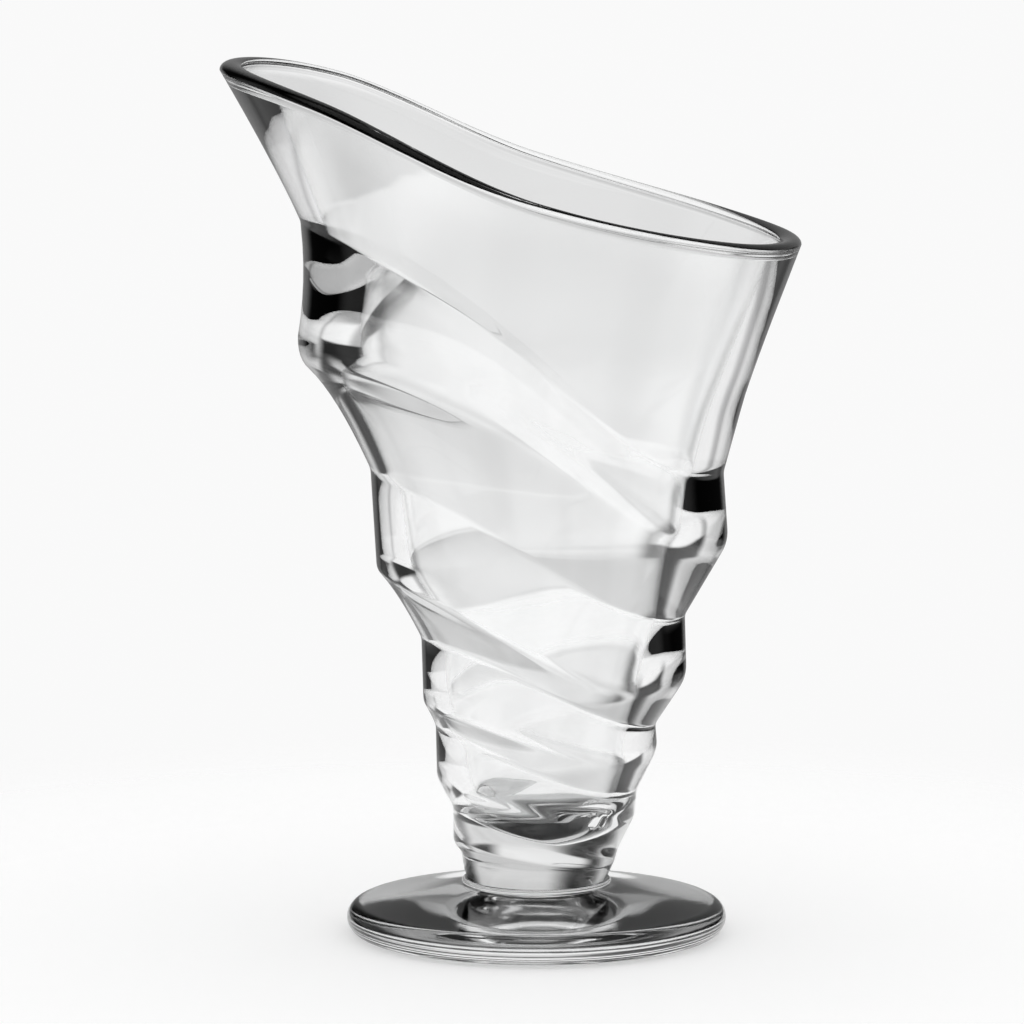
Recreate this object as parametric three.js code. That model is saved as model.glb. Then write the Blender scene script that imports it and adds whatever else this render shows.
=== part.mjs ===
// Ice cream coupe in clear glass: a tall conical bowl wrapped in a spiral of stepped bands,
// fused by a thin glass collar to a thick round foot.
// Millimetres, +Z up. The origin is the centre of the foot's resting face.
// The rim is oblique: its high side is at -X and its low side at +X, seen from the front at -Y.

import * as THREE from 'three';
import { mergeVertices } from 'three/addons/utils/BufferGeometryUtils.js';

// Foot
const FOOT_RADIUS = 40;
const FOOT_EDGE_THICKNESS = 6.4;
const FOOT_HEIGHT = 10.2;
const FOOT_BOSS_MARGIN = 0.5;
const FOOT_TOP_OUT = 0.45;
const FOOT_TOP_UP = 0.3;

// Collar between the foot and the bowl
const COLLAR_THICKNESS = 1.3;
const COLLAR_PROUD = 1.0;

// Bowl: the smooth skin that the ledges are set in, measured from the bowl's own base
const BASE_RADIUS = 14.7;
const BASE_TUCK = 0.4;
const BASE_TUCK_HEIGHT = 4;
const SKIN_TAPER = 0.236;
const SKIN_SPREAD = 5.3;
const LEAN = 2.3;
const LEAN_RISE = 20;

// Rim: a low round that swings from the high side to the low side. The swing is given at each
// eighth of a turn, from 1 at the high side to 0 at the low side.
const WALL = 4.2;
const RIM_CROWN = 1.5;
const RIM_RADIUS = 58.35;
const RIM_SHIFT = 5.35;
const RIM_HIGH = 170.6;
const RIM_LOW = 134.2;
const RIM_SWING = [1, 0.863, 0.341, 0.071, 0];
const FLARE_LENGTH = 32;
const FLARE_POWER = 1.2;

// Cavity: a smooth cone that leans and flares by itself, with a round floor. On the high side it
// follows the ledges outside by a share, softened over a height.
const CAVITY_RADIUS = 10.2;
const CAVITY_TAPER = 0.252;
const CAVITY_DRAW_IN = 3;
const CAVITY_SHIFT = 1.5;
const CAVITY_FLARE = 55;
const CAVITY_FLARE_POWER = 2;
const FOLLOW = 0.42;
const FOLLOW_SOFTNESS = 6;
const FOLLOW_SAMPLES = 11;
const FLOOR_THICKNESS = 10;
const FLOOR_ROUND = 10;

// Ledges
const SPIRAL_TOP = 138.8;
const TOP_LIP_ROUND = 4.5;
const OUTER_LIP_ROUND = 2.5;
const INNER_LIP_ROUND = 1.2;
const BAND_WAIST = 1.6;
const LIP_TUCK = 2.2;
const CORNER_INSET = 1.4;
const HOLLOW_IN = 0.05;
const HOLLOW_UP = 0.3;
const TRIM_LIMIT = 0.3;

// Spiral of ledges, one row for each half turn: left, right, left and so on, passing the front first.
// corner and lip are heights of the inner corner and of the lip under it, and a rise arches the half
// turn that follows above an even fall, each as a share of SPIRAL_TOP. lean is how far the band runs
// out on its way down, for its height, round is the lip's rounding, hollow is how deep the slope
// under the lip is hollowed, waist draws the band in, inset sets the corner in, and tuck draws the
// lip in at the front.
const SPIRAL = [
  { corner: 1, lip: 0.795, lipRise: 0.038, lean: 0.03, round: TOP_LIP_ROUND, hollow: 1, waist: BAND_WAIST },
  { corner: 0.622, lip: 0.5166, lean: 0.07, round: OUTER_LIP_ROUND },
  { corner: 0.6275, lip: 0.4755, lipRise: -0.025, lean: -0.06, round: INNER_LIP_ROUND, hollow: 0.6, tuck: LIP_TUCK },
  { corner: 0.405, lip: 0.31, lean: 0.03, round: OUTER_LIP_ROUND },
  { corner: 0.3696, lip: 0.2716, cornerRise: 0.018, lean: -0.03, round: INNER_LIP_ROUND, hollow: 0.4, inset: CORNER_INSET },
  { corner: 0.238, lip: 0.1996, lean: 0.08, round: OUTER_LIP_ROUND },
  { corner: 0.2356, lip: 0.1563, lean: -0.02, round: INNER_LIP_ROUND },
  { corner: 0.136, lip: 0.0994, lean: -0.04, round: INNER_LIP_ROUND },
  { corner: 0.11, lip: 0.0562, round: INNER_LIP_ROUND },
  { corner: 0.043, lip: 0.0252, round: INNER_LIP_ROUND },
  { corner: 0.042, lip: 0.018, round: INNER_LIP_ROUND },
];
const SPIRAL_TURNS = (SPIRAL.length - 1) / 2;
const LEDGE_RISE_START = -0.25;
const LEDGE_FADE_IN = 0.22;
const LEDGE_END = 4.35;
const LEDGE_FADE_OUT = 0.9;

// Facets
const COLUMNS = 72;
const MERGE_DISTANCE = 1e-3;
const SLOPE_ROWS = 2;
const LIP_STEPS = 2;
const BAND_ROWS = 1;
const ROLL_STEPS = 6;
const CAVITY_ROWS = 20;
const FLOOR_ROWS = 4;
const FOOT_EDGE_STEPS = 8;
const FOOT_TOP_STEPS = 5;
const COLLAR_EDGE_STEPS = 4;

// Sizes that follow from the ones above
const COLLAR_RADIUS = BASE_RADIUS + COLLAR_PROUD;
const BOSS_RADIUS = COLLAR_RADIUS + FOOT_BOSS_MARGIN;
const BOWL_SEAT = FOOT_HEIGHT + COLLAR_THICKNESS;
const FULL_TURN = 2 * Math.PI;

const glass = (color, roughness) => new THREE.MeshStandardMaterial({
  color,
  roughness,
  metalness: 0,
  transparent: true,
  opacity: 0.35,
});

const clamp01 = (t) => THREE.MathUtils.clamp(t, 0, 1);
const lerp = THREE.MathUtils.lerp;

// A slow start and end with a steep middle, as the ledges fall across the front
function ease(t) {
  const u = clamp01(t);
  return u ** 4 * (35 - 84 * u + 70 * u ** 2 - 20 * u ** 3);
}

// Height of the rim round's centre, a smooth curve through its swing at each eighth of a turn
function rimHeight(angle) {
  const fromHighSide = Math.acos(THREE.MathUtils.clamp(Math.cos(angle), -1, 1));
  const steps = RIM_SWING.length - 1;
  const place = fromHighSide / Math.PI * steps;
  const index = Math.min(Math.floor(place), steps - 1);
  const swing = (i) => RIM_SWING[i <= steps ? Math.abs(i) : 2 * steps - i];
  const t = place - index;
  const slopeBefore = (swing(index + 1) - swing(index - 1)) / 2;
  const slopeAfter = (swing(index + 2) - swing(index)) / 2;
  const between = swing(index) * (1 - 3 * t ** 2 + 2 * t ** 3) + slopeBefore * (t - 2 * t ** 2 + t ** 3)
    + swing(index + 1) * (3 * t ** 2 - 2 * t ** 3) + slopeAfter * (t ** 3 - t ** 2);
  return lerp(RIM_LOW, RIM_HIGH, between);
}

function rimRadius(angle) {
  return RIM_RADIUS + RIM_SHIFT * Math.cos(angle);
}

// Radius of the cone below the flare, which leans a little towards the low side
function coneRadius(angle, height) {
  const lean = LEAN * (1 - Math.exp(-height / LEAN_RISE)) * Math.cos(angle);
  const tuck = BASE_TUCK * Math.max(0, 1 - height / BASE_TUCK_HEIGHT) ** 2;
  const spread = SKIN_SPREAD * (height / RIM_HIGH) ** 2;
  return BASE_RADIUS + BASE_TUCK + SKIN_TAPER * height + spread - lean - tuck;
}

// Radius of the whole outer skin: the cone, opened out by the flare below the rim
function skinRadius(angle, height) {
  const top = rimHeight(angle);
  const flare = Math.max(0, (height - top + FLARE_LENGTH) / FLARE_LENGTH) ** FLARE_POWER;
  const opening = rimRadius(angle) + WALL / 2 - coneRadius(angle, top);
  return coneRadius(angle, height) + opening * flare;
}

// Radius of the smooth cone that the cavity follows below its own flare
function plungerRadius(angle, height) {
  const drawIn = CAVITY_DRAW_IN * (height / RIM_HIGH) ** 2;
  return CAVITY_RADIUS + CAVITY_TAPER * height - drawIn - CAVITY_SHIFT * Math.cos(angle);
}

function cavityRadius(angle, height) {
  const top = rimHeight(angle);
  const flare = Math.max(0, (height - top + CAVITY_FLARE) / CAVITY_FLARE) ** CAVITY_FLARE_POWER;
  const opening = rimRadius(angle) - WALL / 2 - plungerRadius(angle, top);
  return plungerRadius(angle, height) + opening * flare;
}

// Radius at a height on a section that rises from point to point
function radiusAt(section, height) {
  const above = section.findIndex((point) => point.y >= height);
  if (above <= 0) return section.at(above).x;
  const [from, to] = [section[above - 1], section[above]];
  return lerp(from.x, to.x, (height - from.y) / Math.max(to.y - from.y, MERGE_DISTANCE));
}

// How far the cavity follows the ledges of the outside at an angle
function followRadius(angle, height, outside) {
  const share = FOLLOW * Math.max(0, Math.cos(angle)) ** 2;
  const top = rimHeight(angle);
  let excess = 0;
  let weights = 0;
  for (const t of evenShares(FOLLOW_SAMPLES)) {
    const level = THREE.MathUtils.clamp(height + FOLLOW_SOFTNESS * (2 * t - 1), 0, top);
    const weight = 1 - Math.abs(2 * t - 1);
    excess += weight * (radiusAt(outside, level) - skinRadius(angle, level));
    weights += weight;
  }
  return share * excess / weights;
}

// Row of the spiral at a turn counted from the high side, and how far on it is to the next row
function spiralPlace(turn) {
  const place = THREE.MathUtils.clamp(turn * 2, 0, SPIRAL.length - 1);
  const row = Math.min(Math.floor(place), SPIRAL.length - 2);
  return { row, t: place - row };
}

// A value of the spiral's rows at a turn, eased from one row to the next
function spiralValue(turn, name) {
  const { row, t } = spiralPlace(turn);
  return lerp(SPIRAL[row][name] ?? 0, SPIRAL[row + 1][name] ?? 0, ease(t));
}

// A value that swells in the middle of the half turn after its row
function spiralSwell(turn, name) {
  const { row, t } = spiralPlace(turn);
  return (SPIRAL[row][name] ?? 0) * Math.sin(Math.PI * t) ** 2;
}

// One of the spiral's heights at a turn: it comes down from the rim before the first row, follows
// the rows, and sinks into the base after the last one
function spiralHeight(turn, name) {
  if (turn < 0) {
    const rim = rimHeight(turn * FULL_TURN);
    const first = Math.min(rim, SPIRAL_TOP * SPIRAL[0][name]);
    return lerp(rim, first, clamp01((turn + 1) / (LEDGE_RISE_START + 1)));
  }
  const height = SPIRAL_TOP * (spiralValue(turn, name) + spiralSwell(turn, `${name}Rise`));
  return height * clamp01(1 - (turn - SPIRAL_TURNS));
}

// The ledge that passes an angle at a given turn: its inner corner, its lip, how far it is formed
// and the form of its band and slope
function ledgeAt(turn) {
  const angle = turn * FULL_TURN;
  const cornerHeight = spiralHeight(turn, 'corner');
  const lipHeight = spiralHeight(turn, 'lip');
  const fadeIn = ease((turn + LEDGE_FADE_IN) / LEDGE_FADE_IN);
  const fadeOut = 1 - ease((turn - LEDGE_END) / LEDGE_FADE_OUT + 0.5);
  const formed = fadeIn * fadeOut;
  const cornerRadius = skinRadius(angle, cornerHeight) - formed * spiralValue(turn, 'inset');
  const lean = spiralValue(turn, 'lean') * (cornerHeight - lipHeight);
  const bandFoot = cornerRadius + lean - spiralSwell(turn, 'tuck');
  const lipRadius = lerp(skinRadius(angle, lipHeight), bandFoot, formed);
  return {
    corner: new THREE.Vector2(cornerRadius, cornerHeight),
    lip: new THREE.Vector2(lipRadius, lipHeight),
    formed,
    waist: formed * spiralValue(turn, 'waist'),
    hollow: formed * spiralValue(turn, 'hollow'),
    round: formed * spiralValue(turn, 'round'),
  };
}

// Point between a corner and the lip above it: on a hollow slope where the ledge is formed, and on
// the plain skin where it isn't
function slopePoint(angle, corner, { lip, formed, hollow }, t) {
  const control = new THREE.Vector2(
    lerp(lip.x, corner.x, 0.5 - HOLLOW_IN * hollow),
    lerp(lip.y, corner.y, 0.5 - HOLLOW_UP * hollow),
  );
  const point = new THREE.QuadraticBezierCurve(corner, control, lip).getPoint(t);
  return new THREE.Vector2(lerp(skinRadius(angle, point.y), point.x, formed), point.y);
}

// Points strictly between the ends of a slope, up to a share of its length
function slopeRows(angle, corner, ledge, end) {
  return evenShares(SLOPE_ROWS).map((t) => slopePoint(angle, corner, ledge, t * end));
}

// Shares that part a length evenly, without its ends
function evenShares(count) {
  return Array.from({ length: count }, (_, i) => (i + 1) / (count + 1));
}

// Lip, band and inner corner of a ledge, from the end of the slope below it. The lip is rounded off
// on both sides, but never over more than a share of either.
function ledgeRows(angle, below, ledge) {
  const { corner, lip, waist, round } = ledge;
  const bandLength = Math.max(lip.distanceTo(corner), MERGE_DISTANCE);
  const slopeLength = Math.max(lip.distanceTo(below), MERGE_DISTANCE);
  const slopeEnd = 1 - Math.min(TRIM_LIMIT, round / slopeLength);
  const bandStart = lip.clone().lerp(corner, Math.min(TRIM_LIMIT, round / bandLength));
  const lipCurve = new THREE.QuadraticBezierCurve(slopePoint(angle, below, ledge, slopeEnd), lip, bandStart);
  const control = bandStart.clone().lerp(corner, 0.5);
  control.x -= waist;
  const band = new THREE.QuadraticBezierCurve(bandStart, control, corner);
  return [
    ...slopeRows(angle, below, ledge, slopeEnd),
    ...lipCurve.getPoints(LIP_STEPS),
    ...evenShares(BAND_ROWS).map((t) => band.getPoint(t)),
    corner,
  ];
}

// Section of the bowl at one angle, from the base's edge up the outside, over the rim and down
// to the cavity's floor
function bowlSection(angle) {
  const turn = angle / FULL_TURN;
  const section = [new THREE.Vector2(BASE_RADIUS, 0)];
  for (let turnsOn = SPIRAL_TURNS; turnsOn >= -1; turnsOn -= 1) {
    section.push(...ledgeRows(angle, section.at(-1), ledgeAt(turn + turnsOn)));
  }
  const rimCentre = new THREE.Vector2(rimRadius(angle), rimHeight(angle));
  const rimStart = new THREE.Vector2(rimCentre.x + WALL / 2, rimCentre.y);
  section.push(...slopeRows(angle, section.at(-1), { lip: rimStart, formed: 0, hollow: 0 }, 1));
  const outside = [...section, rimStart];

  for (let step = 0; step <= ROLL_STEPS; step += 1) {
    const roll = Math.PI * step / ROLL_STEPS;
    section.push(new THREE.Vector2(
      rimCentre.x + WALL / 2 * Math.cos(roll),
      rimCentre.y + RIM_CROWN * Math.sin(roll),
    ));
  }
  const roundTop = FLOOR_THICKNESS + FLOOR_ROUND;
  const inside = (height) => cavityRadius(angle, height) + followRadius(angle, height, outside);
  for (let row = 1; row <= CAVITY_ROWS; row += 1) {
    const height = lerp(rimCentre.y, roundTop, row / CAVITY_ROWS);
    section.push(new THREE.Vector2(inside(height), height));
  }
  for (let row = 1; row < FLOOR_ROWS; row += 1) {
    const fall = Math.PI / 2 * row / FLOOR_ROWS;
    const height = roundTop - FLOOR_ROUND * Math.sin(fall);
    section.push(new THREE.Vector2(inside(height) * Math.cos(fall), height));
  }
  return section;
}

// Closed skin through the sections of every column, with a centre point for the base and the floor.
// The spiral shifts by one ledge over a full turn, so columns run on to the full turn and are merged there.
function bowlGeometry() {
  const positions = [0, 0, 0, 0, 0, FLOOR_THICKNESS];
  const triangles = [];
  let rows = 0;
  for (let column = 0; column <= COLUMNS; column += 1) {
    const angle = FULL_TURN * column / COLUMNS;
    const section = bowlSection(angle);
    rows = section.length;
    for (const { x: radius, y: height } of section) {
      positions.push(-radius * Math.cos(angle), -radius * Math.sin(angle), height);
    }
  }
  const vertex = (column, row) => 2 + column * rows + row;
  for (let column = 0; column < COLUMNS; column += 1) {
    triangles.push([0, vertex(column + 1, 0), vertex(column, 0)]);
    for (let row = 0; row + 1 < rows; row += 1) {
      const a = vertex(column, row);
      const b = vertex(column + 1, row);
      const c = vertex(column + 1, row + 1);
      const d = vertex(column, row + 1);
      triangles.push([a, b, c], [a, c, d]);
    }
    triangles.push([1, vertex(column, rows - 1), vertex(column + 1, rows - 1)]);
  }
  const loose = new THREE.BufferGeometry();
  loose.setAttribute('position', new THREE.Float32BufferAttribute(positions, 3));
  loose.setIndex(triangles.flat());
  return withoutFlatTriangles(mergeVertices(loose, MERGE_DISTANCE));
}

// Rows that run out at the rim or the base leave triangles with a repeated corner, which are dropped
function withoutFlatTriangles(geometry) {
  const index = geometry.index.array;
  const kept = [];
  for (let i = 0; i < index.length; i += 3) {
    const [a, b, c] = index.slice(i, i + 3);
    if (a !== b && b !== c && c !== a) kept.push(a, b, c);
  }
  geometry.setIndex(kept);
  geometry.computeVertexNormals();
  return geometry;
}

// Solid of revolution about +Z from a profile of radius and height
function turned(profile) {
  return new THREE.LatheGeometry(profile, COLUMNS).rotateX(Math.PI / 2);
}

function arc(centreRadius, centreHeight, radius, from, to, steps) {
  const curve = new THREE.EllipseCurve(centreRadius, centreHeight, radius, radius, from, to, false);
  return curve.getPoints(steps);
}

// Foot: flat underneath, a full round edge, and a top that rises gently to the boss under the collar
function footGeometry() {
  const edge = FOOT_EDGE_THICKNESS / 2;
  const edgeCentre = FOOT_RADIUS - edge;
  const rim = arc(edgeCentre, edge, edge, -Math.PI / 2, Math.PI / 2, FOOT_EDGE_STEPS);
  const cove = new THREE.QuadraticBezierCurve(
    rim.at(-1),
    new THREE.Vector2(
      lerp(BOSS_RADIUS, FOOT_RADIUS, FOOT_TOP_OUT),
      lerp(FOOT_EDGE_THICKNESS, FOOT_HEIGHT, FOOT_TOP_UP),
    ),
    new THREE.Vector2(BOSS_RADIUS, FOOT_HEIGHT),
  );
  return turned([
    new THREE.Vector2(0, 0),
    ...rim,
    ...cove.getPoints(FOOT_TOP_STEPS).slice(1),
    new THREE.Vector2(0, FOOT_HEIGHT),
  ]);
}

// Collar: a flat wafer with a round edge
function collarGeometry() {
  const edge = COLLAR_THICKNESS / 2;
  return turned([
    new THREE.Vector2(0, 0),
    ...arc(COLLAR_RADIUS - edge, edge, edge, -Math.PI / 2, Math.PI / 2, COLLAR_EDGE_STEPS),
    new THREE.Vector2(0, COLLAR_THICKNESS),
  ]);
}

function piece(name, geometry, material, height) {
  const mesh = new THREE.Mesh(geometry, material);
  mesh.name = name;
  mesh.position.z = height;
  return mesh;
}

const coupe = new THREE.Group();
coupe.add(
  piece('foot', footGeometry(), glass(0xf2f5f5, 0.03), 0),
  piece('collar', collarGeometry(), glass(0xf0f3f3, 0.05), FOOT_HEIGHT),
  piece('bowl', bowlGeometry(), glass(0xf4f6f6, 0.02), BOWL_SEAT),
);

export default coupe;
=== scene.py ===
# Ice cream coupe in clear glass: a conical bowl wrapped in a spiral of stepped bands,
# a thin fused collar and a thick round foot, in a white bright-field studio.

import math

import bpy
import numpy as np
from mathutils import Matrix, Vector


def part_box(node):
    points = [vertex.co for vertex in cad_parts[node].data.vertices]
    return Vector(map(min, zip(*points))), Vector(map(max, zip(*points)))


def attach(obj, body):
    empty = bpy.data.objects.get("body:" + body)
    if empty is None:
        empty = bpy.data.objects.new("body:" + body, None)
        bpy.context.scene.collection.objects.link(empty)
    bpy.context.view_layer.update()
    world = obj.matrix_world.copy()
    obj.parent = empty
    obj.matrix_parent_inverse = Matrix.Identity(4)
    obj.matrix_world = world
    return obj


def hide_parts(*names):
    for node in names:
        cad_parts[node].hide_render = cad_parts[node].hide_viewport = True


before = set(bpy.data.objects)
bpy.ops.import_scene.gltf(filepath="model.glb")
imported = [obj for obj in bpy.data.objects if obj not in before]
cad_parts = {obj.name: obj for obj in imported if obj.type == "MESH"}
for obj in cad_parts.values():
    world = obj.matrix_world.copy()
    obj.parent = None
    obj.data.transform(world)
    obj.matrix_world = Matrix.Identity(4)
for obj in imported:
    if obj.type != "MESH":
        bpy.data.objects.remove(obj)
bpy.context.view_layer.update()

MM = 0.001
FULL_TURN = 2 * math.pi

# Sizes read from the frame, in millimetres
foot_low, foot_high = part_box("foot")
collar_low, collar_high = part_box("collar")
bowl_low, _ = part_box("bowl")
FOOT_RADIUS = (foot_high.x - foot_low.x) / 2 / MM
FOOT_HEIGHT = foot_high.z / MM
COLLAR_RADIUS = (collar_high.x - collar_low.x) / 2 / MM
COLLAR_THICKNESS = (collar_high.z - collar_low.z) / MM
BOWL_SEAT = bowl_low.z / MM

# Foot and collar
FOOT_EDGE_THICKNESS = 6.4
FOOT_BOSS_MARGIN = 0.5
FOOT_TOP_OUT = 0.45
FOOT_TOP_UP = 0.3
COLLAR_PROUD = 1.0

# Bowl skin, measured from the bowl's own base
BASE_RADIUS = COLLAR_RADIUS - COLLAR_PROUD
BASE_TUCK = 0.4
BASE_TUCK_HEIGHT = 4
SKIN_TAPER = 0.236
SKIN_SPREAD = 5.3
LEAN = 2.3
LEAN_RISE = 20

# Rim and flare
WALL = 4.2
RIM_CROWN = 1.5
BEAD = 0.4
BEAD_LIFT = 0.6
BEAD_UNDERCUT = 0.4
RIM_RADIUS = 58.35
RIM_SHIFT = 5.35
RIM_HIGH = 170.6
RIM_LOW = 134.2
RIM_SWING = np.array([1, 0.863, 0.341, 0.071, 0])
FLARE_LENGTH = 32
FLARE_POWER = 1.2

# Cavity
CAVITY_RADIUS = 10.2
CAVITY_TAPER = 0.252
CAVITY_DRAW_IN = 3
CAVITY_SHIFT = 1.5
CAVITY_FLARE = 55
CAVITY_FLARE_POWER = 2
FOLLOW = 0.42
FOLLOW_SOFTNESS = 6
FOLLOW_SAMPLES = 11
FLOOR_THICKNESS = 10
FLOOR_ROUND = 10

# Spiral of ledges, one row for each half turn from the high left side, passing the front first:
# height of the inner corner, height of the lip and its arch over the half turn that follows,
# each as a share of the first corner's height, and the lean of the band between them
SPIRAL_TOP = 138.8
CORNER = np.array([1, 0.622, 0.6275, 0.405, 0.3696, 0.238, 0.2356, 0.136, 0.110, 0.043, 0.042])
LIP = np.array([0.795, 0.5166, 0.4755, 0.31, 0.2716, 0.1996, 0.1563, 0.0994, 0.0562, 0.0252, 0.018])
CORNER_RISE = np.array([0, 0, 0, 0, 0.018, 0, 0, 0, 0, 0, 0])
LIP_RISE = np.array([0.038, 0, -0.025, 0, 0, 0, 0, 0, 0, 0, 0])
BAND_LEAN = np.array([0.03, 0.07, -0.06, 0.03, -0.03, 0.08, -0.02, -0.04, 0, 0, 0])
INSET = np.array([0, 0, 0, 0, 1.4, 0, 0, 0, 0, 0, 0])
WAIST = np.array([1.6, 0, 0, 0, 0, 0, 0, 0, 0, 0, 0])
HOLLOW = np.array([1, 0, 0.6, 0, 0.4, 0, 0, 0, 0, 0, 0])
LIP_TUCK = np.array([0, 0, 2.2, 0, 0, 0, 0, 0, 0, 0, 0])
LIP_ROUND = np.array([4.5, 2.5, 1.2, 2.5, 1.2, 2.5, 1.2, 1.2, 1.2, 1.2, 1.2])
SPIRAL_TURNS = (len(CORNER) - 1) // 2
LEDGE_RISE_START = -0.25
LEDGE_FADE_IN = 0.22
LEDGE_END = 4.35
LEDGE_FADE_OUT = 0.9
HOLLOW_IN = 0.05
HOLLOW_UP = 0.3
CORNER_ROUND = 0.9
TRIM_LIMIT = 0.3

# Mesh fineness
COLUMNS = 288
SLOPE_STEPS = 9
BAND_STEPS = 7
LIP_STEPS = 7
CORNER_STEPS = 5
ROLL_STEPS = 8
BEAD_STEPS = 6
CAVITY_STEPS = 100
FLOOR_STEPS = 12
FOOT_EDGE_STEPS = 24
FOOT_TOP_STEPS = 19
COLLAR_EDGE_STEPS = 12
MERGE_GRID = 1e-7
LEAST_SPAN = 1e-9


def ease(t):
    """A slow start and end with a steep middle, as the ledges fall across the front."""
    u = np.clip(t, 0, 1)
    return u ** 4 * (35 - 84 * u + 70 * u ** 2 - 20 * u ** 3)


def mix(a, b, t):
    return a + (b - a) * t


def rim_height(angle):
    """Height of the rim roll's centre, a smooth curve through its swing at each eighth of a turn."""
    steps = len(RIM_SWING) - 1
    place = np.arccos(np.clip(np.cos(angle), -1, 1)) / math.pi * steps
    index = np.minimum(place.astype(int), steps - 1)
    t = place - index
    mirrored = np.concatenate([RIM_SWING[1:2], RIM_SWING, RIM_SWING[-2:-1]])
    before, start, end, after = (mirrored[index + i] for i in range(4))
    slope_start = (end - before) / 2
    slope_end = (after - start) / 2
    swing = (
        start * (1 - 3 * t ** 2 + 2 * t ** 3) + slope_start * (t - 2 * t ** 2 + t ** 3)
        + end * (3 * t ** 2 - 2 * t ** 3) + slope_end * (t ** 3 - t ** 2)
    )
    return mix(RIM_LOW, RIM_HIGH, swing)


def rim_radius(angle):
    return RIM_RADIUS + RIM_SHIFT * np.cos(angle)


def cone_radius(angle, height):
    """Radius of the cone below the flare, which leans a little towards the low side."""
    lean = LEAN * (1 - np.exp(-height / LEAN_RISE)) * np.cos(angle)
    tuck = BASE_TUCK * np.maximum(0, 1 - height / BASE_TUCK_HEIGHT) ** 2
    spread = SKIN_SPREAD * (height / RIM_HIGH) ** 2
    return BASE_RADIUS + BASE_TUCK + SKIN_TAPER * height + spread - lean - tuck


def skin_radius(angle, height):
    """Radius of the whole outer skin: the cone, opened out by the flare below the rim."""
    top = rim_height(angle)
    flare = np.maximum(0, (height - top + FLARE_LENGTH) / FLARE_LENGTH) ** FLARE_POWER
    opening = rim_radius(angle) + WALL / 2 - cone_radius(angle, top)
    return cone_radius(angle, height) + opening * flare


def plunger_radius(angle, height):
    """Radius of the smooth cone that the cavity follows below its flare."""
    draw_in = CAVITY_DRAW_IN * (height / RIM_HIGH) ** 2
    return CAVITY_RADIUS + CAVITY_TAPER * height - draw_in - CAVITY_SHIFT * np.cos(angle)


def cavity_radius(angle, height):
    top = rim_height(angle)
    flare = np.maximum(0, (height - top + CAVITY_FLARE) / CAVITY_FLARE) ** CAVITY_FLARE_POWER
    opening = rim_radius(angle) - WALL / 2 - plunger_radius(angle, top)
    return plunger_radius(angle, height) + opening * flare


def follow_radius(angle, height, outside):
    """How far the cavity follows the ledges outside, softened, towards the high side."""
    share = FOLLOW * np.maximum(0, np.cos(angle)) ** 2
    excess = np.zeros_like(angle)
    offsets = np.linspace(-1, 1, FOLLOW_SAMPLES + 2)[1:-1]
    weights = 1 - np.abs(offsets)
    for offset, weight in zip(offsets, weights / weights.sum()):
        level = np.clip(height + FOLLOW_SOFTNESS * offset, 0, rim_height(angle))
        outer = np.array([np.interp(y, column[1], column[0]) for y, column in zip(level, outside)])
        excess += weight * (outer - skin_radius(angle, level))
    return share * excess


def along_spiral(turn, values):
    """The value at each turn, and the row and the share of the half turn that it lies in."""
    place = np.clip(turn * 2, 0, len(values) - 1)
    row = np.minimum(place.astype(int), len(values) - 2)
    return mix(values[row], values[row + 1], ease(place - row)), row, place - row


def spiral_height(turn, shares, rises):
    """A height of the spiral: it comes down the skin from the rim before the first row, follows
    the rows, and sinks into the base after the last one."""
    share, row, t = along_spiral(turn, shares)
    height = SPIRAL_TOP * (share + rises[row] * np.sin(math.pi * t) ** 2)
    rim = rim_height(turn * FULL_TURN)
    first = np.minimum(rim, SPIRAL_TOP * shares[0])
    before = mix(rim, first, np.clip((turn + 1) / (LEDGE_RISE_START + 1), 0, 1))
    after = SPIRAL_TOP * shares[-1] * np.clip(1 - (turn - SPIRAL_TURNS), 0, 1)
    return np.where(turn < 0, before, np.where(turn >= SPIRAL_TURNS, after, height))


def ledge_at(turn):
    """Inner corner and lip as (radius, height), and how far the ledge is formed, at each turn."""
    angle = turn * FULL_TURN
    corner_height = spiral_height(turn, CORNER, CORNER_RISE)
    lip_height = spiral_height(turn, LIP, LIP_RISE)
    fade_in = ease((turn + LEDGE_FADE_IN) / LEDGE_FADE_IN)
    fade_out = 1 - ease((turn - LEDGE_END) / LEDGE_FADE_OUT + 0.5)
    formed = fade_in * fade_out
    corner_radius = skin_radius(angle, corner_height) - formed * along_spiral(turn, INSET)[0]
    lean = along_spiral(turn, BAND_LEAN)[0] * (corner_height - lip_height)
    _, row, t = along_spiral(turn, LIP_TUCK)
    tuck = LIP_TUCK[row] * np.sin(math.pi * t) ** 2
    lip_radius = mix(skin_radius(angle, lip_height), corner_radius + lean - tuck, formed)
    form = [formed * along_spiral(turn, values)[0] for values in (WAIST, HOLLOW, LIP_ROUND)]
    return (corner_radius, corner_height), (lip_radius, lip_height), formed, form


def bend(a, b, c, t):
    """Point at t on the quadratic curve from a to c that is pulled towards b."""
    return tuple((1 - t) ** 2 * p + 2 * t * (1 - t) * q + t ** 2 * r for p, q, r in zip(a, b, c))


def slope_point(angle, corner, lip, formed, hollow, t):
    """Point on the hollow slope from a corner up to the lip above it, or on the plain skin
    where the ledge isn't formed."""
    control = (
        mix(lip[0], corner[0], 0.5 - HOLLOW_IN * hollow),
        mix(lip[1], corner[1], 0.5 - HOLLOW_UP * hollow),
    )
    radius, height = bend(corner, control, lip, t)
    return mix(skin_radius(angle, height), radius, formed), height


def span(a, b):
    """Distance between two points, kept above zero so that it can be divided by."""
    return np.hypot(a[0] - b[0], a[1] - b[1]) + LEAST_SPAN


def trim(distance, length):
    """Share of a length that a rounding may take."""
    return np.minimum(TRIM_LIMIT, distance / length)


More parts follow.
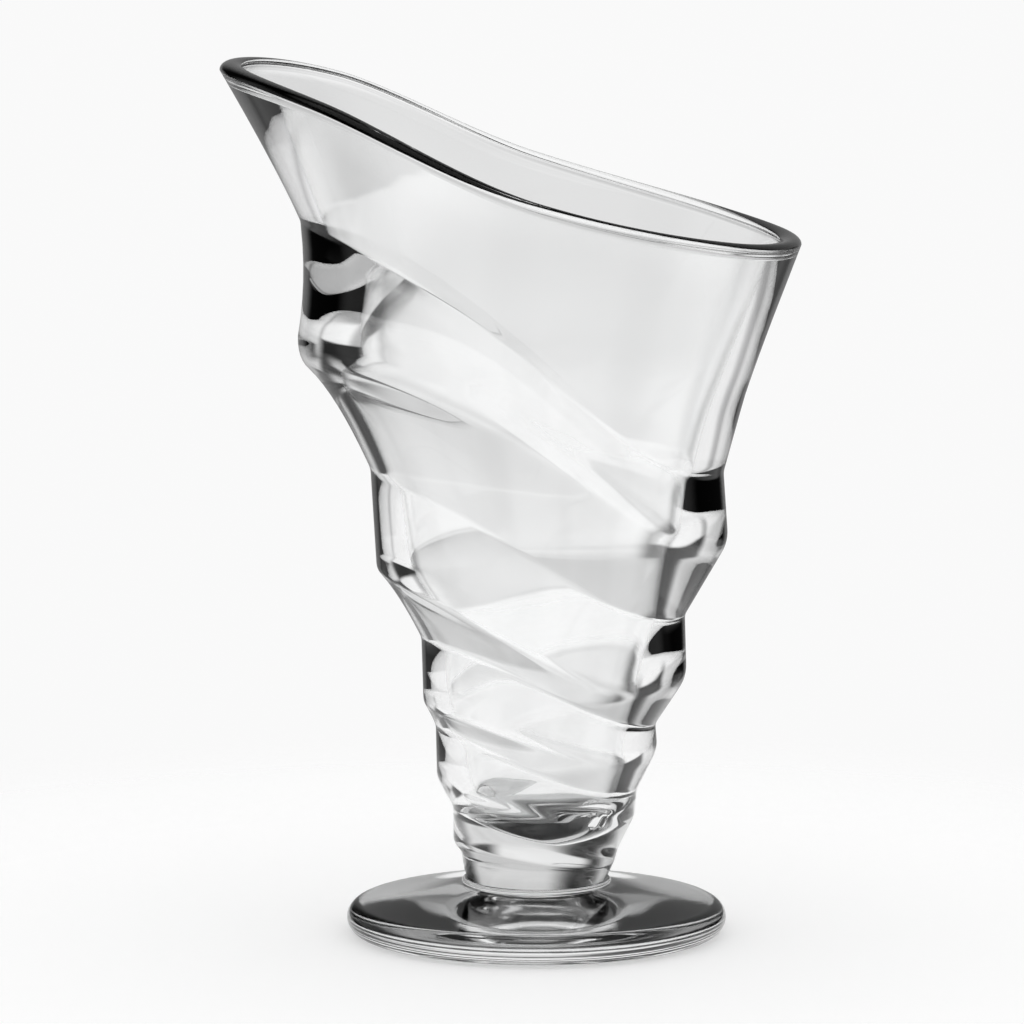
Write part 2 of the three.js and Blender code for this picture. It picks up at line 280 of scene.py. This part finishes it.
def bowl_rows(angle):
    """Rows of (radius, height) round the bowl, from the middle of its base up the outside, over
    the rim and down to the middle of the cavity's floor."""
    turn = angle / FULL_TURN
    zero = np.zeros_like(angle)
    base_edge = (zero + BASE_RADIUS, zero)
    rows = [(zero, zero)]
    below = base_edge
    band_end = base_edge
    for number in range(SPIRAL_TURNS, -2, -1):
        corner, lip, formed, (waist, hollow, lip_round) = ledge_at(turn + number)
        slope_length = span(below, lip)
        start = trim(CORNER_ROUND, slope_length)
        end = 1 - trim(lip_round, slope_length)
        slope_start = slope_point(angle, below, lip, formed, hollow, start)
        slope_end = slope_point(angle, below, lip, formed, hollow, end)
        rows += [bend(band_end, below, slope_start, t) for t in np.linspace(0, 1, CORNER_STEPS)]
        rows += [
            slope_point(angle, below, lip, formed, hollow, mix(start, end, t))
            for t in np.linspace(0, 1, SLOPE_STEPS)[1:-1]
        ]
        band_length = span(lip, corner)
        band_start = tuple(mix(p, q, trim(lip_round, band_length)) for p, q in zip(lip, corner))
        band_end = tuple(mix(q, p, trim(CORNER_ROUND, band_length)) for p, q in zip(lip, corner))
        rows += [bend(slope_end, lip, band_start, t) for t in np.linspace(0, 1, LIP_STEPS)]
        middle = tuple((p + q) / 2 for p, q in zip(band_start, band_end))
        control = (middle[0] - waist, middle[1])
        rows += [
            bend(band_start, control, band_end, t) for t in np.linspace(0, 1, BAND_STEPS)[1:-1]
        ]
        below = corner

    rim_centre = (rim_radius(angle), rim_height(angle))
    rim_start = (rim_centre[0] + WALL / 2, rim_centre[1])
    start = trim(CORNER_ROUND, span(below, rim_start))
    flare_start = slope_point(angle, below, rim_start, 0, 0, start)
    rows += [bend(band_end, below, flare_start, t) for t in np.linspace(0, 1, CORNER_STEPS)]
    rows += [
        slope_point(angle, below, rim_start, 0, 0, mix(start, 1, t))
        for t in np.linspace(0, 1, SLOPE_STEPS)[1:-1]
    ]
    outside = np.transpose([*rows, rim_start], (2, 1, 0))

    def inside(height):
        return cavity_radius(angle, height) + follow_radius(angle, height, outside)

    for roll in np.linspace(0, math.pi / 2, ROLL_STEPS + 1):
        rows.append((
            rim_centre[0] + WALL / 2 * math.cos(roll),
            rim_centre[1] + RIM_CROWN * math.sin(roll),
        ))
    bead_height = rim_centre[1] + BEAD_LIFT
    for roll in np.linspace(0, math.pi / 2, ROLL_STEPS + 1)[1:]:
        rows.append((
            rim_centre[0] - (WALL / 2 + BEAD) * math.sin(roll),
            bead_height + (RIM_CROWN - BEAD_LIFT) * math.cos(roll),
        ))
    for roll in np.linspace(0, math.pi / 2, BEAD_STEPS + 1)[1:]:
        height = bead_height - BEAD_UNDERCUT * math.sin(roll)
        rows.append((inside(height) - BEAD * math.cos(roll), height))
    round_top = FLOOR_THICKNESS + FLOOR_ROUND
    for t in np.linspace(0, 1, CAVITY_STEPS + 1)[1:]:
        height = mix(bead_height - BEAD_UNDERCUT, round_top, t)
        rows.append((inside(height), height))
    for fall in np.linspace(0, math.pi / 2, FLOOR_STEPS + 1)[1:]:
        height = zero + round_top - FLOOR_ROUND * math.sin(fall)
        rows.append((inside(height) * math.cos(fall), height))
    return rows


def skin_mesh(name, rows, angle, seat, fused_steps):
    """Closed mesh through rows of (radius, height) at each angle. Points that meet are merged,
    and faces on the fused steps between rows get the second material."""
    points = np.array([
        np.column_stack([-radius * np.cos(angle), -radius * np.sin(angle), height + seat])
        for radius, height in rows
    ]) * MM
    keys = np.round(points.reshape(-1, 3) / MERGE_GRID).astype(np.int64)
    _, first, number = np.unique(keys, axis=0, return_index=True, return_inverse=True)
    number = number.reshape(points.shape[:2])
    faces, slots = [], []
    for step in range(len(rows) - 1):
        for column in range(len(angle) - 1):
            ring = [
                number[step, column], number[step, column + 1],
                number[step + 1, column + 1], number[step + 1, column],
            ]
            face = [int(v) for i, v in enumerate(ring) if v != ring[i - 1]]
            if len(set(face)) == len(face) > 2:
                faces.append(face)
                slots.append(1 if step in fused_steps else 0)
    mesh = bpy.data.meshes.new(name)
    mesh.from_pydata(points.reshape(-1, 3)[first].tolist(), [], faces)
    mesh.polygons.foreach_set("material_index", slots)
    mesh.polygons.foreach_set("use_smooth", [True] * len(faces))
    mesh.update()
    piece = bpy.data.objects.new(name, mesh)
    bpy.context.scene.collection.objects.link(piece)
    return piece


def turned_rows(profile, angle):
    return [(np.full_like(angle, radius), np.full_like(angle, height)) for radius, height in profile]


def arc(centre, radius, start, end, steps):
    return [
        (centre[0] + radius * math.cos(a), centre[1] + radius * math.sin(a))
        for a in np.linspace(start, end, steps + 1)
    ]


def foot_profile():
    """Flat underneath, a full round edge, and a top that rises in a cove to the boss."""
    edge = FOOT_EDGE_THICKNESS / 2
    boss = COLLAR_RADIUS + FOOT_BOSS_MARGIN
    rim = arc((FOOT_RADIUS - edge, edge), edge, -math.pi / 2, math.pi / 2, FOOT_EDGE_STEPS)
    control = (
        mix(boss, FOOT_RADIUS, FOOT_TOP_OUT),
        mix(FOOT_EDGE_THICKNESS, FOOT_HEIGHT, FOOT_TOP_UP),
    )
    cove = [
        bend(rim[-1], control, (boss, FOOT_HEIGHT), t)
        for t in np.linspace(0, 1, FOOT_TOP_STEPS + 1)[1:]
    ]
    joint = (COLLAR_RADIUS - COLLAR_THICKNESS / 2, FOOT_HEIGHT)
    return [(0, 0), *rim, *cove, joint, (0, FOOT_HEIGHT)]


def collar_profile():
    """A flat wafer with a round edge; the ring at the bowl's base parts the fused top."""
    edge = COLLAR_THICKNESS / 2
    rim = arc((COLLAR_RADIUS - edge, edge), edge, -math.pi / 2, math.pi / 2, COLLAR_EDGE_STEPS)
    return [(0, 0), *rim, (BASE_RADIUS, COLLAR_THICKNESS), (0, COLLAR_THICKNESS)]


def math_node(tree, operation, first, second=None):
    node = tree.nodes.new("ShaderNodeMath")
    node.operation = operation
    for socket, value in zip(node.inputs, (first, second)):
        if isinstance(value, bpy.types.NodeSocket):
            tree.links.new(value, socket)
        elif value is not None:
            socket.default_value = value
    return node.outputs[0]


def ramp_node(tree, value, span_of_value, start, end):
    """A smooth change from start to end while the value passes through its span."""
    node = tree.nodes.new("ShaderNodeMapRange")
    node.interpolation_type = "SMOOTHSTEP"
    tree.links.new(value, node.inputs["Value"])
    names = ("From Min", "From Max", "To Min", "To Max")
    for name, number in zip(names, (*span_of_value, start, end)):
        node.inputs[name].default_value = number
    return node.outputs["Result"]


def seen_through_glass(tree, also_by_camera):
    """One for light paths that come from glass, and for the camera's own if asked for."""
    paths = tree.nodes.new("ShaderNodeLightPath")
    seen = math_node(tree, "MAXIMUM", paths.outputs["Is Glossy Ray"], paths.outputs["Is Transmission Ray"])
    if also_by_camera:
        return math_node(tree, "MAXIMUM", seen, paths.outputs["Is Camera Ray"])
    not_on_floor = math_node(tree, "LESS_THAN", paths.outputs["Diffuse Depth"], 1)
    return math_node(tree, "MULTIPLY", seen, not_on_floor)


def glass_material(name, tint, roughness, wave_scale, wave_strength):
    """Clear fire-polished glass with a faint waviness left by the mould."""
    material = bpy.data.materials.new(name)
    material.use_nodes = True
    nodes, links = material.node_tree.nodes, material.node_tree.links
    shader = nodes["Principled BSDF"]
    shader.inputs["Base Color"].default_value = (*tint, 1)
    shader.inputs["Roughness"].default_value = roughness
    shader.inputs["IOR"].default_value = GLASS_IOR
    shader.inputs["Transmission Weight"].default_value = 1.0
    place = nodes.new("ShaderNodeTexCoord")
    waves = nodes.new("ShaderNodeTexNoise")
    waves.inputs["Scale"].default_value = wave_scale
    waves.inputs["Detail"].default_value = WAVE_DETAIL
    links.new(place.outputs["Object"], waves.inputs["Vector"])
    bump = nodes.new("ShaderNodeBump")
    bump.inputs["Strength"].default_value = wave_strength
    bump.inputs["Distance"].default_value = MM
    links.new(waves.outputs["Fac"], bump.inputs["Height"])
    links.new(bump.outputs["Normal"], shader.inputs["Normal"])
    return material


def fused_material():
    """Where two gathers of glass run together there is no surface, so light passes straight on."""
    material = bpy.data.materials.new("fused_joint")
    material.use_nodes = True
    nodes, links = material.node_tree.nodes, material.node_tree.links
    nodes.remove(nodes["Principled BSDF"])
    clear = nodes.new("ShaderNodeBsdfTransparent")
    links.new(clear.outputs["BSDF"], nodes["Material Output"].inputs["Surface"])
    return material


def floor_material():
    """A pale floor that fades into the white surroundings, with a painted shadow right under the foot: its
    colour darkens to a dark disc there and its glow is taken away.
    """
    material = bpy.data.materials.new("pale_floor")
    material.use_nodes = True
    tree = material.node_tree
    shader = tree.nodes["Principled BSDF"]
    shader.inputs["Roughness"].default_value = FLOOR_ROUGHNESS
    shader.inputs["Specular IOR Level"].default_value = FLOOR_SHINE
    shader.inputs["Emission Color"].default_value = (1, 1, 1, 1)
    place = tree.nodes.new("ShaderNodeTexCoord")
    reach = tree.nodes.new("ShaderNodeVectorMath")
    reach.operation = "LENGTH"
    tree.links.new(place.outputs["Object"], reach.inputs[0])
    radius = reach.outputs["Value"]
    # Painted shadow: the floor's colour turns dark grey in a disc under the foot, and its glow fades out
    # over the same span.
    grey = ramp_node(tree, radius, PAINTED_SHADOW_REACH, PAINTED_SHADOW_GREY, FLOOR_GREY)
    glow = ramp_node(tree, radius, PAINTED_SHADOW_REACH, 0, FLOOR_GLOW)
    glow = math_node(tree, "MULTIPLY", glow, seen_through_glass(tree, True))
    tree.links.new(grey, shader.inputs["Base Color"])
    tree.links.new(glow, shader.inputs["Emission Strength"])
    tree.links.new(ramp_node(tree, radius, FLOOR_FADE, 1, 0), shader.inputs["Alpha"])
    return material


def bright_field():
    """White for the camera and for the light on the floor. Through glass it shows windows with dark
    flags between them: over the horizon the windows are turned to the right, below it they are pale
    with narrow flags, and they darken straight down and overhead round a top light. There is a faint
    grey line at the horizon, and what the glass mirrors is dimmer than what is seen through it."""
    world = bpy.data.worlds.new("bright_field")
    world.use_nodes = True
    tree = world.node_tree
    place = tree.nodes.new("ShaderNodeTexCoord")
    parts = tree.nodes.new("ShaderNodeSeparateXYZ")
    tree.links.new(place.outputs["Generated"], parts.inputs[0])
    across, along, up = parts.outputs
    azimuth = math_node(tree, "ARCTAN2", across, along)

    def ripple(count, turn):
        turned = math_node(tree, "SUBTRACT", azimuth, turn)
        return math_node(tree, "COSINE", math_node(tree, "MULTIPLY", turned, count))

    left_turn = ramp_node(tree, across, LEFT_SPAN, LEFT_TURN, 0)
    level = ramp_node(tree, ripple(WINDOWS, left_turn), WINDOW_EDGE, FLAG_GREY, 1)
    upper = ramp_node(tree, ripple(WINDOWS, UPPER_TURN), UPPER_EDGE, FLAG_GREY, 1)
    side = tree.nodes.new("ShaderNodeMix")
    tree.links.new(ramp_node(tree, up, UPPER_SPAN, 0, 1), side.inputs["Factor"])
    tree.links.new(level, side.inputs["A"])
    tree.links.new(upper, side.inputs["B"])
    low = ramp_node(tree, ripple(2 * WINDOWS, 0), LOW_EDGE, LOW_GREY, 1)
    low = math_node(tree, "MULTIPLY", low, ramp_node(tree, up, LOW_SPAN, 1, 0))
    low = math_node(tree, "MULTIPLY", low, ramp_node(tree, up, STEEP_SPAN, STEEP_GREY, 1))
    pattern = math_node(tree, "MAXIMUM", side.outputs["Result"], low)
    pattern = math_node(tree, "MULTIPLY", pattern, ramp_node(tree, up, FALL_SPAN, 1, FALL_GREY))
    pattern = math_node(tree, "MULTIPLY", pattern, ramp_node(tree, up, CEILING_SPAN, 1, FLAG_GREY))
    pattern = math_node(tree, "MAXIMUM", pattern, ramp_node(tree, up, TOP_LIGHT_SPAN, 0, 1))
    off_horizon = math_node(tree, "ABSOLUTE", math_node(tree, "SUBTRACT", up, HORIZON))
    paths = tree.nodes.new("ShaderNodeLightPath")
    for dimming in (
        ramp_node(tree, off_horizon, HORIZON_SPAN, HORIZON_GREY, 1),
        ramp_node(tree, paths.outputs["Glossy Depth"], BOUNCE_SPAN, 1, BOUNCE_GREY),
        ramp_node(tree, paths.outputs["Is Reflection Ray"], (0, 1), 1, MIRROR_GREY),
    ):
        pattern = math_node(tree, "MULTIPLY", pattern, dimming)
    shown = tree.nodes.new("ShaderNodeMix")
    tree.links.new(seen_through_glass(tree, False), shown.inputs["Factor"])
    shown.inputs["A"].default_value = PLAIN_WHITE
    tree.links.new(pattern, shown.inputs["B"])
    tree.links.new(shown.outputs["Result"], tree.nodes["Background"].inputs["Color"])
    return world


# Pieces
GLASS_IOR = 1.5
WAVE_DETAIL = 2
CLEAR = (0.985, 0.988, 0.988)
PALE_GREEN = (0.98, 0.985, 0.985)
BOWL_GLASS = {"tint": CLEAR, "roughness": 0, "wave_scale": 45, "wave_strength": 0.02}
COLLAR_GLASS = {"tint": PALE_GREEN, "roughness": 0, "wave_scale": 300, "wave_strength": 0.15}
FOOT_GLASS = {"tint": PALE_GREEN, "roughness": 0.06, "wave_scale": 90, "wave_strength": 0.03}
angles = np.linspace(0, FULL_TURN, COLUMNS + 1)
foot_outline = foot_profile()
collar_outline = collar_profile()
bowl = skin_mesh("glass_bowl", bowl_rows(angles), angles, BOWL_SEAT, {0})
foot = skin_mesh("glass_foot", turned_rows(foot_outline, angles), angles, 0, {len(foot_outline) - 2})
collar = skin_mesh(
    "glass_collar", turned_rows(collar_outline, angles), angles, FOOT_HEIGHT,
    {0, len(collar_outline) - 2},
)
fused = fused_material()
for piece, node, glass in (
    (bowl, "bowl", BOWL_GLASS),
    (collar, "collar", COLLAR_GLASS),
    (foot, "foot", FOOT_GLASS),
):
    piece.data.materials.append(glass_material(f"{node}_glass", **glass))
    piece.data.materials.append(fused)
    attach(piece, "root")
    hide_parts(node)

# Floor
FLOOR_DROP = 0.0003
FLOOR_SIZE = 1.2
FLOOR_FADE = (0.12, 0.25)
FLOOR_GREY = 0.86
FLOOR_ROUGHNESS = 0.9
FLOOR_SHINE = 0.1
FLOOR_GLOW = 0.2
# Painted shadow under the foot: a dark grey disc in the floor's colour, where the floor's glow is also
# taken away
PAINTED_SHADOW_REACH = (0.016, 0.03)
PAINTED_SHADOW_GREY = 0.03
bpy.ops.mesh.primitive_plane_add(size=FLOOR_SIZE, location=(0, 0, -FLOOR_DROP))
floor = bpy.context.object
floor.name = "floor"
floor.data.materials.append(floor_material())

# Surroundings: spans of the direction's upward share, of its share to the right, of the ripple, or
# of the count of mirrorings inside the glass
PLAIN_WHITE = 0.95
WINDOWS = 4
FLAG_GREY = 0.03
WINDOW_EDGE = (-0.5, 0.4)
LEFT_SPAN = (-0.3, 0.1)
LEFT_TURN = math.radians(-6)
UPPER_SPAN = (0.03, 0.13)
UPPER_EDGE = (-1, 0.1)
UPPER_TURN = math.radians(18)
LOW_SPAN = (-0.21, -0.15)
LOW_EDGE = (-1, 0)
LOW_GREY = 0.5
STEEP_SPAN = (-0.65, -0.45)
STEEP_GREY = 0.04
FALL_SPAN = (-0.3, 0.3)
FALL_GREY = 0.6
CEILING_SPAN = (0.5, 0.75)
TOP_LIGHT_SPAN = (0.75, 0.9)
HORIZON = -0.15
HORIZON_SPAN = (0, 0.09)
HORIZON_GREY = 0.87
BOUNCE_SPAN = (1.5, 4.5)
BOUNCE_GREY = 0.05
MIRROR_GREY = 0.35
bpy.context.scene.world = bright_field()

# Camera
CAMERA_AT = Vector((-0.00515, -1.480, 0.2975))
CAMERA_AIM = Vector((-0.00515, 0, 0.08913))
CAMERA_LENS = 251
camera = bpy.data.objects.new("camera", bpy.data.cameras.new("camera"))
camera.data.lens = CAMERA_LENS
camera.location = CAMERA_AT
camera.rotation_euler = (CAMERA_AIM - CAMERA_AT).to_track_quat("-Z", "Y").to_euler()
bpy.context.scene.collection.objects.link(camera)
bpy.context.scene.camera = camera
bpy.context.scene.view_settings.view_transform = "Standard"
